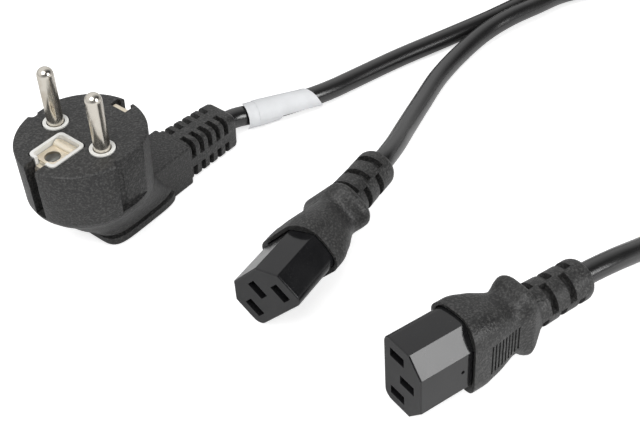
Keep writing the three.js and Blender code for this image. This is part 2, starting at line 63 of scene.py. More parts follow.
makeCamera(cameraSetup)
print("camera placed")


# Node helpers
def addNode(tree, kind, inputs=None, **settings):
    node = tree.nodes.new(kind)
    for name, value in settings.items():
        setattr(node, name, value)
    for key, value in (inputs or {}).items():
        socket = node.inputs[key]
        if isinstance(value, bpy.types.NodeSocket):
            tree.links.new(value, socket)
        else:
            socket.default_value = value
    return node


def newGroup(name, inputs, outputs, kind="ShaderNodeTree"):
    group = bpy.data.node_groups.new(name, kind)
    for direction, sockets in (("INPUT", inputs), ("OUTPUT", outputs)):
        for label, socketType, *start in sockets:
            socket = group.interface.new_socket(label, in_out=direction, socket_type=socketType)
            if start:
                socket.default_value = start[0]
    return group, group.nodes.new("NodeGroupInput"), group.nodes.new("NodeGroupOutput")


def useGroup(tree, group, **inputs):
    node = tree.nodes.new("ShaderNodeGroup")
    node.node_tree = group
    for name, value in inputs.items():
        if isinstance(value, bpy.types.NodeSocket):
            tree.links.new(value, node.inputs[name])
        else:
            node.inputs[name].default_value = value
    return node


def addNoise(tree, place, scale, detail, roughness=0.5, distortion=0.0):
    values = {"Vector": place, "Scale": scale, "Detail": detail, "Roughness": roughness}
    return addNode(tree, "ShaderNodeTexNoise", {**values, "Distortion": distortion}).outputs["Fac"]


def remap(tree, value, fromLow, fromHigh, toLow, toHigh):
    values = {"Value": value, 1: fromLow, 2: fromHigh, 3: toLow, 4: toHigh}
    return addNode(tree, "ShaderNodeMapRange", values).outputs[0]


def calculate(tree, operation, *values):
    return addNode(tree, "ShaderNodeMath", dict(enumerate(values)), operation=operation).outputs[0]


def addBump(tree, height, strength, depth, **inputs):
    values = {"Height": height, "Strength": strength, "Distance": depth * mm, **inputs}
    return addNode(tree, "ShaderNodeBump", values).outputs[0]


def softEdge(tree, radius):
    return addNode(tree, "ShaderNodeBevel", {"Radius": radius * mm}, samples=4).outputs[0]


def fill(tree, target, values):
    for name, value in values.items():
        if isinstance(value, bpy.types.NodeSocket):
            tree.links.new(value, target.inputs[name])
        else:
            target.inputs[name].default_value = value


# Surface effects that several finishes share, as numbers and masks only
def makeGrainGroup():
    group, given, made = newGroup(
        "mouldGrain",
        [("Place", "NodeSocketVector"), ("Size", "NodeSocketFloat", 0.4)],
        [("Height", "NodeSocketFloat"), ("Patches", "NodeSocketFloat"), ("Specks", "NodeSocketFloat")],
    )
    place = given.outputs["Place"]
    perMetre = calculate(group, "DIVIDE", 1000.0, given.outputs["Size"])  # sizes are given in millimetres
    pits = addNode(group, "ShaderNodeTexVoronoi", {"Vector": place, "Scale": perMetre, "Smoothness": 0.6},
                   feature="SMOOTH_F1")
    fine = addNoise(group, place, perMetre, 4.0, 0.6)
    wide = addNoise(group, place, 95.0, 5.0, 0.62, 0.4)
    fill(group, made, {
        "Height": calculate(group, "ADD", pits.outputs["Distance"], fine),
        "Patches": remap(group, wide, 0.34, 0.68, 0.0, 1.0),
        "Specks": remap(group, fine, 0.47, 0.68, 0.0, 1.0),
    })
    return group


def makeDustGroup():
    group, given, made = newGroup(
        "restingDust",
        [("Place", "NodeSocketVector"), ("Amount", "NodeSocketFloat", 0.1)],
        [("Mask", "NodeSocketFloat")],
    )
    sharp = remap(group, addNoise(group, given.outputs["Place"], 2600.0, 2.0), 0.62, 0.74, 0.0, 1.0)
    soft = remap(group, addNoise(group, given.outputs["Place"], 160.0, 4.0), 0.45, 0.7, 0.1, 1.0)
    facing = addNode(group, "ShaderNodeNewGeometry")
    split = addNode(group, "ShaderNodeSeparateXYZ", {0: facing.outputs["Normal"]})
    upward = remap(group, split.outputs["Z"], 0.0, 1.0, 0.25, 1.0)  # dust stays on what faces up
    laid = calculate(group, "MULTIPLY", calculate(group, "MULTIPLY", sharp, soft), upward)
    fill(group, made, {"Mask": calculate(group, "MULTIPLY", laid, given.outputs["Amount"])})
    return group


grainGroup = makeGrainGroup()
dustGroup = makeDustGroup()


def newMaterial(name):
    material = bpy.data.materials.new(name)
    material.use_nodes = True
    tree = material.node_tree
    tree.nodes.clear()
    shader = tree.nodes.new("ShaderNodeBsdfPrincipled")
    output = tree.nodes.new("ShaderNodeOutputMaterial")
    tree.links.new(shader.outputs[0], output.inputs["Surface"])
    coordinates = tree.nodes.new("ShaderNodeTexCoord")
    return material, tree, shader, coordinates.outputs["Object"]


def mixColour(tree, factor, first, second):
    node = tree.nodes.new("ShaderNodeMix")
    node.data_type = "RGBA"
    for key, value in ((0, factor), (6, first), (7, second)):
        if isinstance(value, bpy.types.NodeSocket):
            tree.links.new(value, node.inputs[key])
        else:
            node.inputs[key].default_value = value if key == 0 else (*value, 1)
    return node.outputs[2]


mouldingLook = {
    "colour": (0.0105, 0.0105, 0.0107), "worn": (0.018, 0.0178, 0.0174), "speck": (0.066, 0.065, 0.063),
    "dustColour": (0.33, 0.32, 0.3), "dust": 0.14, "roughness": (0.4, 0.52), "specular": 0.5,
    "grainSize": 0.62, "grainDepth": 0.11, "edge": 0.22,  # millimetres
}


def makeMoulding(name, look):
    material, tree, shader, place = newMaterial(name)
    grain = useGroup(tree, grainGroup, Place=place, Size=look["grainSize"])
    dust = useGroup(tree, dustGroup, Place=place, Amount=look["dust"])
    base = mixColour(tree, grain.outputs["Patches"], look["colour"], look["worn"])
    specked = mixColour(tree, grain.outputs["Specks"], base, look["speck"])
    fill(tree, shader, {
        "Base Color": mixColour(tree, dust.outputs["Mask"], specked, look["dustColour"]),
        "Roughness": remap(tree, grain.outputs["Patches"], 0.0, 1.0, *look["roughness"]),
        "Normal": addBump(tree, grain.outputs["Height"], 0.9, look["grainDepth"],
                          Normal=softEdge(tree, look["edge"])),
        "Specular IOR Level": look["specular"],
    })
    return material


cordLook = {
    "colour": (0.009, 0.009, 0.0093), "worn": (0.015, 0.0148, 0.0148), "dustColour": (0.3, 0.29, 0.28),
    "dust": 0.08, "roughness": (0.17, 0.27), "specular": 0.85,
    "grainSize": 0.9, "grainDepth": 0.03, "streaks": 0.035,  # millimetres
}


def makeJacket(name, look):
    material, tree, shader, place = newMaterial(name)
    grain = useGroup(tree, grainGroup, Place=place, Size=look["grainSize"])
    dust = useGroup(tree, dustGroup, Place=place, Amount=look["dust"])
    way = addNode(tree, "ShaderNodeUVMap", uv_map="alongCord")
    lengthwise = addNode(tree, "ShaderNodeMapping", {"Vector": way.outputs[0], "Scale": (14.0, 0.35, 1.0)})
    drawn = addNoise(tree, lengthwise.outputs[0], 6.0, 4.0, 0.55)
    base = mixColour(tree, grain.outputs["Patches"], look["colour"], look["worn"])
    fill(tree, shader, {
        "Base Color": mixColour(tree, dust.outputs["Mask"], base, look["dustColour"]),
        "Roughness": remap(tree, drawn, 0.3, 0.7, *look["roughness"]),
        "Normal": addBump(tree, grain.outputs["Height"], 0.25, look["grainDepth"],
                          Normal=addBump(tree, drawn, 0.6, look["streaks"])),
        "Specular IOR Level": look["specular"],
    })
    return material


metalLook = {
    "nickel": {"colour": (0.72, 0.68, 0.61), "tarnish": (0.5, 0.44, 0.36), "roughness": (0.14, 0.3)},
    "plate": {"colour": (0.86, 0.79, 0.66), "tarnish": (0.7, 0.6, 0.46), "roughness": (0.32, 0.5)},
    "brass": {"colour": (0.72, 0.57, 0.3), "tarnish": (0.4, 0.3, 0.15), "roughness": (0.28, 0.45)},
}


def makeMetal(name, look, stretch=(900.0, 900.0, 25.0)):
    material, tree, shader, place = newMaterial(name)
    drawn = addNode(tree, "ShaderNodeMapping", {"Vector": place, "Scale": stretch})
    lines = addNoise(tree, drawn.outputs[0], 1.0, 5.0, 0.6)
    spots = remap(tree, addNoise(tree, place, 240.0, 4.0), 0.5, 0.75, 0.0, 0.7)
    fill(tree, shader, {
        "Base Color": mixColour(tree, spots, look["colour"], look["tarnish"]),
        "Roughness": remap(tree, lines, 0.3, 0.7, *look["roughness"]),
        "Normal": addBump(tree, lines, 0.3, 0.02),
        "Metallic": 1.0,
    })
    return material


carrierLook = {
    "colour": (0.007, 0.007, 0.0078), "worn": (0.012, 0.012, 0.0128), "dustColour": (0.3, 0.29, 0.28),
    "dust": 0.1, "roughness": (0.1, 0.22), "frontRoughness": 0.55, "specular": 0.5,
    "grainSize": 0.5, "grainDepth": 0.03, "edge": 0.2,  # millimetres
}


def makeCarrierPlastic(name, look):
    material, tree, shader, place = newMaterial(name)
    grain = useGroup(tree, grainGroup, Place=place, Size=look["grainSize"])
    dust = useGroup(tree, dustGroup, Place=place, Amount=look["dust"])
    front = addNode(tree, "ShaderNodeAttribute", attribute_name="roughFace", attribute_type="GEOMETRY")
    base = mixColour(tree, grain.outputs["Patches"], look["colour"], look["worn"])
    sides = remap(tree, grain.outputs["Patches"], 0.0, 1.0, *look["roughness"])
    fill(tree, shader, {
        "Base Color": mixColour(tree, dust.outputs["Mask"], base, look["dustColour"]),
        "Roughness": remap(tree, front.outputs["Fac"], 0.0, 1.0, sides, look["frontRoughness"]),
        "Normal": addBump(tree, grain.outputs["Height"], 0.2, look["grainDepth"],
                          Normal=softEdge(tree, look["edge"])),
        "Specular IOR Level": look["specular"],
    })
    return material


paleLook = {
    "insert": {"colour": (0.8, 0.8, 0.78), "aged": (0.68, 0.67, 0.63), "roughness": 0.42, "bump": 0.02},
    "paper": {"colour": (0.72, 0.73, 0.745), "aged": (0.64, 0.65, 0.66), "roughness": 0.6, "bump": 0.05},
}


def makePale(name, look):
    material, tree, shader, place = newMaterial(name)
    patch = remap(tree, addNoise(tree, place, 150.0, 5.0), 0.4, 0.75, 0.0, 1.0)
    fill(tree, shader, {
        "Base Color": mixColour(tree, patch, look["colour"], look["aged"]),
        "Roughness": look["roughness"],
        "Normal": addBump(tree, addNoise(tree, place, 1800.0, 3.0), 0.4, look["bump"]),
    })
    return material


finishes = {
    "moulding": makeMoulding("charcoalMoulding", mouldingLook),
    "cord_jacket": makeJacket("satinJacket", cordLook),
    "carrier": makeCarrierPlastic("carrierPlastic", carrierLook),
    "nickel": makeMetal("nickelPlate", metalLook["nickel"]),
    "plate": makeMetal("earthPlateMetal", metalLook["plate"], (60.0, 900.0, 900.0)),
    "contact": makeMetal("contactBrass", metalLook["brass"], (60.0, 900.0, 900.0)),
    "white_insert": makePale("whiteInsert", paleLook["insert"]),
    "paper": makePale("labelPaper", paleLook["paper"]),
    "tie": makeMoulding("tieBand", {**mouldingLook, "grainSize": 0.6, "roughness": (0.4, 0.5)}),
}
print("finishes made")


# Solids, as closed skins in millimetres
def cornerPoint(corner, across, up, angle):
    return across + corner * math.cos(angle), up + corner * math.sin(angle)


def roundedOutline(wide, tall, high, low=None, steps=9):
    outline = []
    for across, up, quarter in ((1, 1, 0), (-1, 1, 1), (-1, -1, 2), (1, -1, 3)):
        corner = min(high if up > 0 or low is None else low, wide - 0.01, tall - 0.01)
        for step in range(steps + 1):
            angle = (quarter + step / steps) * math.pi / 2
            outline.append(cornerPoint(corner, across * (wide - corner), up * (tall - corner), angle))
    return outline


def circleOutline(radius, sides=64, centre=(0.0, 0.0)):
    angles = [index / sides * 2 * math.pi for index in range(sides)]
    return [(centre[0] + radius * math.cos(angle), centre[1] + radius * math.sin(angle)) for angle in angles]


def shiftOutline(outline, across, up=0.0):
    return [(x + across, y + up) for x, y in outline]


def newPiece(name, points, faces):
    mesh = bpy.data.meshes.new(name)
    mesh.from_pydata(points, [], faces)
    work = bmesh.new()
    work.from_mesh(mesh)
    bmesh.ops.recalc_face_normals(work, faces=work.faces)
    work.to_mesh(mesh)
    work.free()
    piece = bpy.data.objects.new(name, mesh)
    bpy.context.scene.collection.objects.link(piece)
    return piece


def skin(name, rings):
    count = len(rings[0])
    points = [point for ring in rings for point in ring]
    faces = [tuple(range(count))[::-1], tuple(range(len(points) - count, len(points)))]
    for low in range(0, len(points) - count, count):
        for step in range(count):
            following = (step + 1) % count
            faces.append((low + step, low + following, low + count + following, low + count + step))
    return newPiece(name, points, faces)


def denser(sections, parts=4):
    widths = [b[0] - a[0] for a, b in zip(sections, sections[1:])]
    slopes = [[(q - p) / width for p, q in zip(a, b)] for a, b, width in zip(sections, sections[1:], widths)]
    tangents = [slopes[0]]
    for before, after in zip(slopes, slopes[1:]):  # flat where the slope turns, so nothing overshoots
        tangents.append([2 * p * q / (p + q) if p * q > 0 else 0.0 for p, q in zip(before, after)])
    tangents.append(slopes[-1])
    made = []
    for index, width in enumerate(widths):
        ends = sections[index], tangents[index], sections[index + 1], tangents[index + 1]
        for part in range(parts):
            t = part / parts
            blend = (
                2 * t**3 - 3 * t**2 + 1, (t**3 - 2 * t**2 + t) * width,
                3 * t**2 - 2 * t**3, (t**3 - t**2) * width,
            )
            made.append([sum(w * v for w, v in zip(blend, values)) for values in zip(*ends)])
    return [*made, list(sections[-1])]


def bodyAlongX(name, sections, steps=9):
    rings = []
    for x, wide, tall, corner, *rest in sections:
        lift, aside = (*rest, 0.0, 0.0)[:2]
        rings.append([(x, y + aside, z + lift) for y, z in roundedOutline(wide, tall, corner, steps=steps)])
    return skin(name, rings)


def bodyAlongZ(name, sections, count=160):
    rings = []
    for z, front, back, halfWidth, power in sections:
        ring = []
        for step in range(count):
            c, s = math.cos(step / count * 2 * math.pi), math.sin(step / count * 2 * math.pi)
            along = math.copysign(abs(c) ** (2 / power), c)
            across = math.copysign(abs(s) ** (2 / power), s)
            ring.append(((front + back) / 2 + along * (back - front) / 2, across * halfWidth, z))
        rings.append(ring)
    return skin(name, rings)


def prism(axis, outline, low, high):
    places = {
        "x": lambda u, v, w: (w, u, v),
        "y": lambda u, v, w: (u, w, v),
        "z": lambda u, v, w: (u, v, w),
    }
    return skin("prism", [[places[axis](u, v, level) for u, v in outline] for level in (low, high)])


def box(x0, x1, y0, y1, z0, z1):
    return prism("z", [(x0, y0), (x1, y0), (x1, y1), (x0, y1)], min(z0, z1), max(z0, z1))


def post(x, y, low, high, radius):
    return prism("z", circleOutline(radius, centre=(x, y)), low, high)


def combine(piece, tools, operation):
    for tool in tools:
        modifier = piece.modifiers.new("shape", "BOOLEAN")
        modifier.operation = operation
        modifier.solver = "MANIFOLD"
        modifier.object = tool
    graph = bpy.context.evaluated_depsgraph_get()
    mesh = bpy.data.meshes.new_from_object(piece.evaluated_get(graph))
    piece.modifiers.clear()
    piece.data = mesh
    for tool in tools:
        bpy.data.objects.remove(tool)
    return piece


def join(piece, *tools):
    return combine(piece, tools, "UNION")


def cut(piece, *tools):
    return combine(piece, tools, "DIFFERENCE")


def setDown(piece, name, finish, standsFor, place=None, smoothAngle=34):
    mesh = piece.data
    mesh.transform(Matrix.Scale(mm, 4) @ (place or Matrix.Identity(4)))
    mesh.materials.clear()
    mesh.materials.append(finishes[finish])
    mesh.shade_smooth()
    mesh.set_sharp_from_angle(angle=math.radians(smoothAngle))
    piece.name = mesh.name = name
    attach(piece, "root")
    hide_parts(*standsFor)
    return piece


# Geometry Nodes: copies in a row, and a cord along its path
def makeRowTree():
    tree, given, made = newGroup(
        "rowOfCopies",
        [("Geometry", "NodeSocketGeometry"), ("Count", "NodeSocketInt", 3), ("Offset", "NodeSocketVector"),
         ("Finish", "NodeSocketMaterial")],
        [("Geometry", "NodeSocketGeometry")],
        "GeometryNodeTree",
    )
    wanted = given.outputs
    places = addNode(tree, "GeometryNodeMeshLine", {"Count": wanted["Count"], "Offset": wanted["Offset"]},
                     mode="OFFSET")
    copies = addNode(tree, "GeometryNodeInstanceOnPoints",
                     {"Points": places.outputs[0], "Instance": wanted["Geometry"]})
    real = addNode(tree, "GeometryNodeRealizeInstances", {0: copies.outputs[0]})
    finish = addNode(tree, "GeometryNodeSetMaterial", {0: real.outputs[0], "Material": wanted["Finish"]})
    tree.links.new(finish.outputs[0], made.inputs[0])
    return tree


def makeCordTree():
    tree, given, made = newGroup(
        "cordAlongPath",
        [("Geometry", "NodeSocketGeometry"), ("Cord Radius", "NodeSocketFloat", 0.0034),
         ("Sides", "NodeSocketInt", 24), ("Finish", "NodeSocketMaterial")],
        [("Geometry", "NodeSocketGeometry")],
        "GeometryNodeTree",
    )
    wanted = given.outputs
    path = addNode(tree, "GeometryNodeMeshToCurve", {0: wanted["Geometry"]})
    spline = addNode(tree, "GeometryNodeSplineParameter")
    along = addNode(tree, "GeometryNodeCaptureAttribute", {"Geometry": path.outputs[0]}, domain="POINT")
    along.capture_items.new("FLOAT", "along")
    tree.links.new(spline.outputs["Length"], along.inputs["along"])
    ring = addNode(tree, "GeometryNodeCurvePrimitiveCircle",
                   {"Resolution": wanted["Sides"], "Radius": wanted["Cord Radius"]})
    around = addNode(tree, "GeometryNodeCaptureAttribute", {"Geometry": ring.outputs[0]}, domain="POINT")
    around.capture_items.new("FLOAT", "round")
    tree.links.new(spline.outputs["Factor"], around.inputs["round"])
    tube = addNode(tree, "GeometryNodeCurveToMesh",
                   {"Curve": along.outputs[0], "Profile Curve": around.outputs[0], "Fill Caps": True})
    cover = addNode(tree, "ShaderNodeCombineXYZ",
                    {"X": around.outputs["round"], "Y": along.outputs["along"]})
    store = addNode(tree, "GeometryNodeStoreNamedAttribute",
                    {"Geometry": tube.outputs[0], "Name": "alongCord"}, data_type="FLOAT2", domain="CORNER")
    tree.links.new(cover.outputs[0], store.inputs["Value"])
    smooth = addNode(tree, "GeometryNodeSetShadeSmooth", {0: store.outputs[0]})
    real = addNode(tree, "GeometryNodeRealizeInstances", {0: smooth.outputs[0]})
    finish = addNode(tree, "GeometryNodeSetMaterial", {0: real.outputs[0], "Material": wanted["Finish"]})
    tree.links.new(finish.outputs[0], made.inputs[0])
    return tree


def socketId(tree, name):
    return next(item.identifier for item in tree.interface.items_tree
                if item.item_type == "SOCKET" and item.in_out == "INPUT" and item.name == name)


def grow(name, baseMesh, tree, finishName, **inputs):
    seed = bpy.data.objects.new(name + "Seed", baseMesh)
    bpy.context.scene.collection.objects.link(seed)
    modifier = seed.modifiers.new("grown", "NODES")
    modifier.node_group = tree
    for label, value in inputs.items():
        modifier[socketId(tree, label.replace("_", " "))] = value
    modifier[socketId(tree, "Finish")] = finishes[finishName]
    graph = bpy.context.evaluated_depsgraph_get()
    mesh = bpy.data.meshes.new_from_object(seed.evaluated_get(graph))
    bpy.data.objects.remove(seed)
    mesh.name = name
    piece = bpy.data.objects.new(name, mesh)
    bpy.context.scene.collection.objects.link(piece)
    return piece


cordTree = makeCordTree()
rowTree = makeRowTree()


def inRow(tool, count, offset):
    row = grow("row", tool.data, rowTree, "moulding", Count=count, Offset=offset)
    bpy.data.objects.remove(tool)
    return row


# Cords, with their routes in millimetres, as the CAD solids lie
cordSetup = {"radius": 3.4, "sides": 28, "step": 2.4, "gap": 0.3}
coilSetup = {
    "centre": (244.0, -5.0), "outer": 47.0, "pitch": 7.0, "low": 4.5, "layerTurns": 2, "perTurn": 56,
}
connectorPlaces = {
    "connector_1": {"centre": (0.9, -65.4, 15.5), "turn": 5.2, "dip": 0.0, "roll": -51.5},
    "connector_2": {"centre": (1.5, -110.8, 13.4), "turn": -17.8, "dip": 0.0, "roll": 84.1},
}
connectorEnd = 63.0
junctionSetup = {
    "x": 264.0, "y": -109.0, "length": 45.0, "height": 13.0, "spacing": 12.4, "slot": 1.3, "pitch": 2.9,
}


def connectorMatrix(place):
    turns = [Matrix.Rotation(math.radians(place[name]), 4, axis)
             for name, axis in (("turn", "Z"), ("dip", "Y"), ("roll", "X"))]
    return Matrix.Translation(place["centre"]) @ turns[0] @ turns[1] @ turns[2]


def exitOf(name, reach):
    return tuple(connectorMatrix(connectorPlaces[name]) @ Vector((reach, 0, 0)))


def junctionEnd(side):
    height = junctionSetup["height"] / 2
    if side:
        y = junctionSetup["y"] + side * junctionSetup["spacing"] / 2
        return [(junctionSetup["x"] - 5, y, height), (junctionSetup["x"] - cordSetup["gap"], y, height)]
    x = junctionSetup["x"] + junctionSetup["length"]
    return [(x + 4.5, junctionSetup["y"] + 0.2, height), (x + cordSetup["gap"], junctionSetup["y"], height)]


def branchStart(name):
    return [exitOf(name, connectorEnd + cordSetup["gap"]), exitOf(name, connectorEnd + 2.6)]


trunkRoute = [
    (57.7, -0.9, 6.5), (60.2, -0.9, 6.5), (64, -1.9, 6.1), (68.5, -4.1, 5.5), (74, -6.9, 5.1),
    (80, -9.7, 4.8), (88, -13.2, 4.7), (97, -16, 4.2), (108, -18.4, 3.6), (128, -23.7, 3.5),
    (152, -31.4, 3.5), (170, -37, 3.5), (185, -41, 3.5), (198, -44.6, 3.5), (210.5, -47.5, 3.7),
    (227, -50.9, 4.2),
]
tailRoute = [
    (257, -52.2, 11.3), (270, -52.4, 10.4), (282, -52.8, 8.2), (291, -53, 6),
    (299, -53.2, 4.3), (306, -53.8, 3.5), (319, -57.4, 3.5), (329.6, -67, 3.5),
    (333, -81, 3.5), (329.4, -95.2, 3.9), (322.4, -104, 5.2), *junctionEnd(0),
]
branchRoutes = {
    "branch_cord_1": [
        *branchStart("connector_1"), (77.2, -56.6, 13), (88.8, -52.6, 9.7),
        (108, -46.9, 6.2), (127, -42.2, 4.3), (145, -40.6, 4), (159.5, -41.6, 5.2),
        (171, -44.6, 6.6), (186, -49.2, 6.8), (199, -52.2, 5.8), (211, -57.6, 4.5),
        (222, -66.6, 3.6), (232, -77.2, 3.5), (239.8, -88, 3.5), (248, -96.6, 4),
        *junctionEnd(1),
    ],
    "branch_cord_2": [
        *branchStart("connector_2"), (73.5, -134.3, 12.7), (86.8, -138.3, 9.6), (103, -142.4, 5.6),
        (118, -146, 3.6), (136, -148.6, 3.5), (156, -149.4, 3.5), (176, -147.6, 3.5), (196, -142.6, 3.5),
        (212, -136, 3.5), (226, -128.2, 3.5), (238, -121.4, 3.8), (249, -116.8, 5.1), *junctionEnd(-1),
    ],
}


def coilPoints(setup):
    cx, cy = setup["centre"]
    count = setup["layerTurns"] * setup["perTurn"]
    inner = setup["outer"] - setup["layerTurns"] * setup["pitch"]
    points = []
    for index in range(2 * count + 1):
        turn = index / setup["perTurn"]
        radius = inner + abs(setup["layerTurns"] - turn) * setup["pitch"]
        climb = min(1, max(0, (turn - setup["layerTurns"] + 0.07) / 0.14))
        angle = (turn - 0.25) * 2 * math.pi
        height = setup["low"] + setup["pitch"] * climb * climb * (3 - 2 * climb)
        points.append((cx + radius * math.cos(angle), cy + radius * math.sin(angle), height))
    return points


def between(p, q, low, high, t):
    return p * ((high - t) / (high - low)) + q * ((t - low) / (high - low))


def catmullRom(points, step):
    vectors = [Vector(point) for point in points]
    vectors = [2 * vectors[0] - vectors[1], *vectors, 2 * vectors[-1] - vectors[-2]]
    route = []
    for a, b, c, d in zip(vectors, vectors[1:], vectors[2:], vectors[3:]):
        knots = [0.0]
        for start, end in ((a, b), (b, c), (c, d)):
            knots.append(knots[-1] + max(1e-6, (end - start).length) ** 0.5)
        count = max(2, round((c - b).length / step))
        for index in range(count):
            t = knots[1] + (knots[2] - knots[1]) * index / count
            first = between(a, b, knots[0], knots[1], t)
            middle = between(b, c, knots[1], knots[2], t)
            last = between(c, d, knots[2], knots[3], t)
            early = between(first, middle, knots[0], knots[2], t)
            late = between(middle, last, knots[1], knots[3], t)
            route.append(between(early, late, knots[1], knots[2], t))
    return [*route, vectors[-2]]


# Blank paper label: its first part wraps the cord and hangs a little, the rest lies over the cord.
labelSetup = {
    "start": (68.0, -4.0, 5.5), "turn": -24.6, "dip": 2.2, "from": -2.4, "wrapEnd": 10.2, "topEnd": 20.2,
    "topStart": 1.5, "tip": 25.8, "inner": 3.55, "thick": 0.14, "loose": 0.75,
    "firstAngle": 48.0, "hang": 2.7, "rows": 54, "across": 26,
}


def labelRow(s, u, wrapped):
    share = min(1.0, max(0.0, (u - s["topEnd"]) / (s["tip"] - s["topEnd"])))
    first = s["firstAngle"] + share * 155
    last = 222.0 if wrapped else 186 + 24 * (u - s["wrapEnd"]) / (s["tip"] - s["wrapEnd"])
    hang = s["hang"] * (0.25 + 0.75 * (u - s["from"]) / (s["wrapEnd"] - s["from"])) if wrapped else 0.35
    lift = (0.0 if wrapped else 0.16) + s["loose"] * min(1.0, max(0.0, (19 - u) / 15))
    sides = []
    for extra in (s["thick"], 0.0):
        line = []
        for index in range(s["across"] + 1):
            angle = math.radians(first + (last - first) * min(1.0, index / (s["across"] - 4)))
            radius = s["inner"] + lift + extra
            beyond = hang * max(0, index - s["across"] + 4) / 4
            line.append((u, radius * math.cos(angle) - beyond * math.sin(angle),
                         radius * math.sin(angle) + beyond * math.cos(angle)))
        sides.append(line)
    return [*sides[0], *sides[1][::-1]]


def makeLabel(s):
    parts = []
    for wrapped, start, end in ((True, s["from"], s["wrapEnd"]), (False, s["topStart"], s["tip"])):
        places = [start + (end - start) * index / s["rows"] for index in range(s["rows"] + 1)]
        parts.append(skin("labelPart", [labelRow(s, u, wrapped) for u in places]))
    turn, dip = math.radians(s["turn"]), math.radians(s["dip"])
    place = Matrix.Translation(s["start"]) @ (Matrix.Rotation(turn, 4, "Z") @ Matrix.Rotation(dip, 4, "Y"))
    return setDown(join(*parts), "cordLabel", "paper", ("cord_label",), place)


def makeCord(name, route, standsFor, pieces=()):
    mesh = bpy.data.meshes.new(name + "Path")
    points = [Vector(p) * mm for p in route]
    mesh.from_pydata(points, [(i, i + 1) for i in range(len(points) - 1)], [])
    radius = cordSetup["radius"] * mm
    piece = grow(name, mesh, cordTree, "cord_jacket", Cord_Radius=radius, Sides=cordSetup["sides"])
    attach(piece, "root")
    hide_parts(*standsFor)


trunk = [*trunkRoute, *coilPoints(coilSetup), *tailRoute]
makeCord("trunkCord", catmullRom(trunk, cordSetup["step"]), ("trunk_cord", "trunk_coil", "trunk_tail"),
         (makeLabel(labelSetup), nodes["coil_tie"]))
for nodeName, route in branchRoutes.items():
    makeCord("branchCord" + nodeName[-1], catmullRom(route, cordSetup["step"]), (nodeName,))
print("cords laid")

# Plug
plugSetup = {
    "face": 39.4, "radius": 18.5, "depth": 18.0, "guideX": -1.6, "land": 17.0, "fit": 0.25,  # drum
    "pinSpacing": 19.0, "pinDiameter": 4.8, "pinLength": 19.0, "pinRoot": 13.0,  # round pins
    "insertUp": 0.2, "insertDepth": 7.5, "collar": 3.7, "wellX": -8.2, "wellDepth": 6.0,  # pin insert
    "earthX": -10.0, "earthDiameter": 5.2, "plateDrop": 1.2,  # earth contact under the face
    "clipDrop": 0.6, "clipWidth": 3.6, "slotDepth": 2.8,  # earth clips at the sides
    "armTop": 15.0, "armEnd": 34.9, "armHalf": 7.5, "reliefEnd": 57.4, "aside": -0.9,  # arm
    "slots": 5, "slotPitch": 3.75, "slotWidth": 1.95, "spine": 1.7, "core": 4.4,  # bend relief
}


def drum(s):
    face, bottom, radius = s["face"], s["face"] - s["depth"], s["radius"]
    return bodyAlongZ("drum", [
        (0, -1.2, 26.6, 8.8, 5), (0.25, -1.7, 27.1, 9.3, 5), (0.6, -1.9, 27.3, 9.5, 5),
        (3, -2.2, 27.3, 9.6, 4.6), (3.3, -1.3, 26.2, 8.5, 4.4), (4.2, -1.7, 26, 8.5, 4),
        (4.7, -3.2, 26.8, 9.5, 3.8), (5.7, -4.2, 26.8, 9.9, 3.4), (6.9, -5.4, 26, 10, 3),
        (9, -7.4, 24.4, 11.1, 2.7), (11, -9.6, 23, 12.4, 2.5), (14, -12, 21.3, 13.9, 2.3),
        (bottom - 4.6, -14, 20, 15.2, 2.15), (bottom - 3.2, -16.2, 19.6, 16.8, 2.05),
        (bottom - 1.6, -17.6, 19.5, 17.7, 2), (bottom, -18.2, 19.6, 18.1, 2),
        (face - 0.7, -radius, 20, radius, 2), (face - 0.4, 0.12 - radius, 19.88, radius - 0.12, 2),
        (face - 0.15, 0.4 - radius, 19.6, radius - 0.4, 2), (face, 0.9 - radius, 19.1, radius - 0.9, 2),
    ])


def cornerCuts(quarters, x, width, spine, core, aside=0.0, lift=0.0):
    signs = {1: (1, 1), 2: (-1, 1), 3: (-1, -1), 4: (1, -1)}
    cuts = []
    for quarter in quarters:
        y, z = [sorted((sign * spine, sign * 12)) for sign in signs[quarter]]
        cuts.append(box(x, x + width, y[0] + aside, y[1] + aside, z[0] + lift, z[1] + lift))
    keep = prism("x", shiftOutline(circleOutline(core), aside, lift), x - 1, x + width + 1)
    return cut(join(cuts[0], *cuts[1:]), keep)


def arm(s):
    half, middle, end, last = s["armHalf"], s["armTop"] / 2, s["armEnd"], s["reliefEnd"]
    block = bodyAlongX("arm", [
        (8, half, middle, 0.6, middle), (end - 0.6, half, middle, 0.6, middle),
        (end - 0.5, half, middle, 0.6, middle),
        (end - 0.15, half - 0.12, middle - 0.12, 0.7, middle),
        (end, half - 0.4, middle - 0.4, 0.8, middle),
    ])
    relief = bodyAlongX("relief", [
        (end - 2, half - 0.7, middle - 0.15, 2.4, middle - 0.05),
        (end + 1.2, half - 0.7, middle - 0.15, 2.4, middle - 0.05),
        (last - 4.4, 6.5, 6.9, 2.4, 7, s["aside"] * 0.8), (last - 1.2, 6.4, 6.8, 2.4, 6.9, s["aside"]),
        (last - 0.5, 6.1, 6.5, 2.4, 6.9, s["aside"]), (last, 5.4, 5.8, 2.4, 6.9, s["aside"]),
    ])
    slots = []
    for index in range(s["slots"]):
        x = end + 1.2 + index * s["slotPitch"]
        share = (x - end) / (last - end)  # the relief leans aside and down towards its end
        aside, lift = s["aside"] * share, 7.3 - 0.35 * share
        slots.append(cornerCuts((1, 2, 3, 4), x, s["slotWidth"], s["spine"], s["core"], aside, lift))
    return join(block, cut(relief, *slots))


